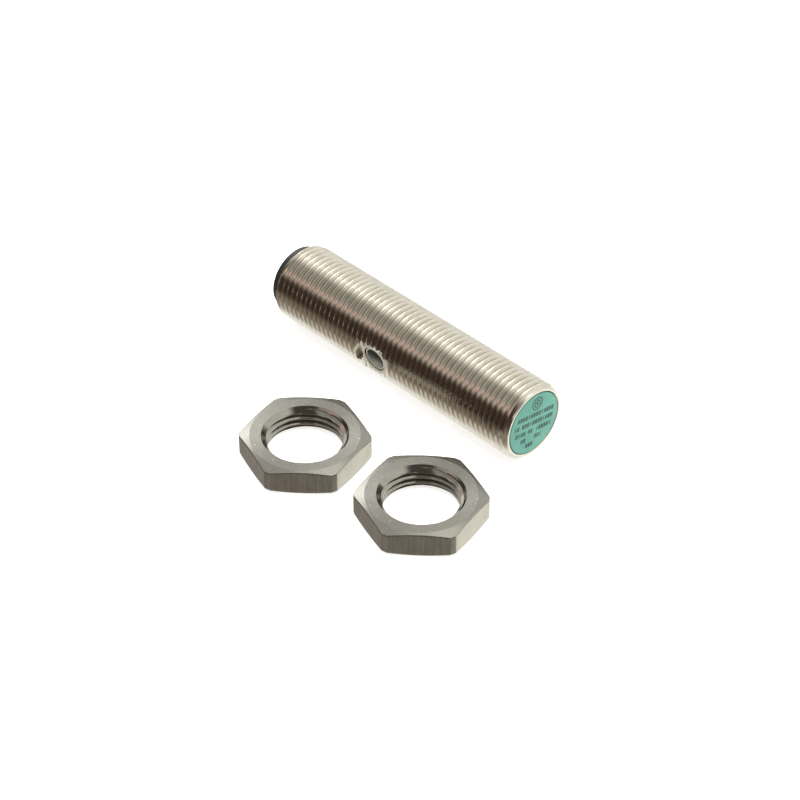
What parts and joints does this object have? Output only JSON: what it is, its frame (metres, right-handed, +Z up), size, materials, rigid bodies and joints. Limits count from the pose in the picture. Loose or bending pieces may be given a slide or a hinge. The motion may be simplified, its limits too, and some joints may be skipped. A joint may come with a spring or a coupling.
{
  "type": "inductive proximity sensor",
  "caption": "Cylindrical inductive proximity sensor with a threaded metal housing, plastic sensing face, side window, rear pin connector and loose hexagon mounting nuts.",
  "frame": {"origin": "centre of the sensing face", "axes": "+X out of the sensing face along the sensor's axis, +Z up from the surface that the sensor and its nuts lie on"},
  "size_m": [0.0565, 0.0386, 0.012],
  "materials": {
    "nickel_plated_brass": "nickel plated, satin bright",
    "nut_nickel": "nickel plated, fine turned faces",
    "teal_plastic": "fine matt moulding",
    "black_plastic": "fine matt moulding",
    "clear_resin": "cast, slightly cloudy",
    "ferrite": "ground",
    "cream_plastic": "moulded",
    "copper_wire": "enamelled copper",
    "shield_brass": "drawn",
    "grey_plastic": "moulded",
    "board_laminate": "green solder mask",
    "chip_moulding": "epoxy moulding",
    "capacitor_ceramic": "fired",
    "lamp_resin": "clear yellow",
    "cast_resin": "cast",
    "seal_rubber": "smooth",
    "gold_plate": "gold plated, bright",
    "tinned_wire": "tinned"
  },
  "bodies": {
    "sensor": {"housing": "nickel_plated_brass", "sensing_cap": "teal_plastic", "ferrite_core": "ferrite", "coil_bobbin": "cream_plastic", "coil_winding": "copper_wire", "shield_ring": "shield_brass", "core_carrier": "grey_plastic", "coil_leads": "copper_wire", "circuit_board": "board_laminate", "sensor_ic": "chip_moulding", "output_transistor": "chip_moulding", "protection_diodes": "chip_moulding", "chip_resistors": "chip_moulding", "chip_capacitors": "capacitor_ceramic", "indicator_led": "lamp_resin", "led_window": "clear_resin", "potting_compound": "cast_resin", "connector_insert": "black_plastic", "insert_o_ring": "seal_rubber", "contact_pin_1": "gold_plate", "contact_pin_2": "gold_plate", "contact_pin_3": "gold_plate", "contact_pin_4": "gold_plate", "pin_wires": "tinned_wire"},
    "nut_1": {"mounting_nut_1": "nut_nickel"},
    "nut_2": {"mounting_nut_2": "nut_nickel"}
  },
  "joints": [
    {"name": "nut_1_lift", "type": "slide", "parent": "sensor", "child": "nut_1", "axis": [0, 0, 1], "range_m": [0, 0.03]},
    {"name": "nut_2_lift", "type": "slide", "parent": "sensor", "child": "nut_2", "axis": [0, 0, 1], "range_m": [0, 0.03]}
  ]
}
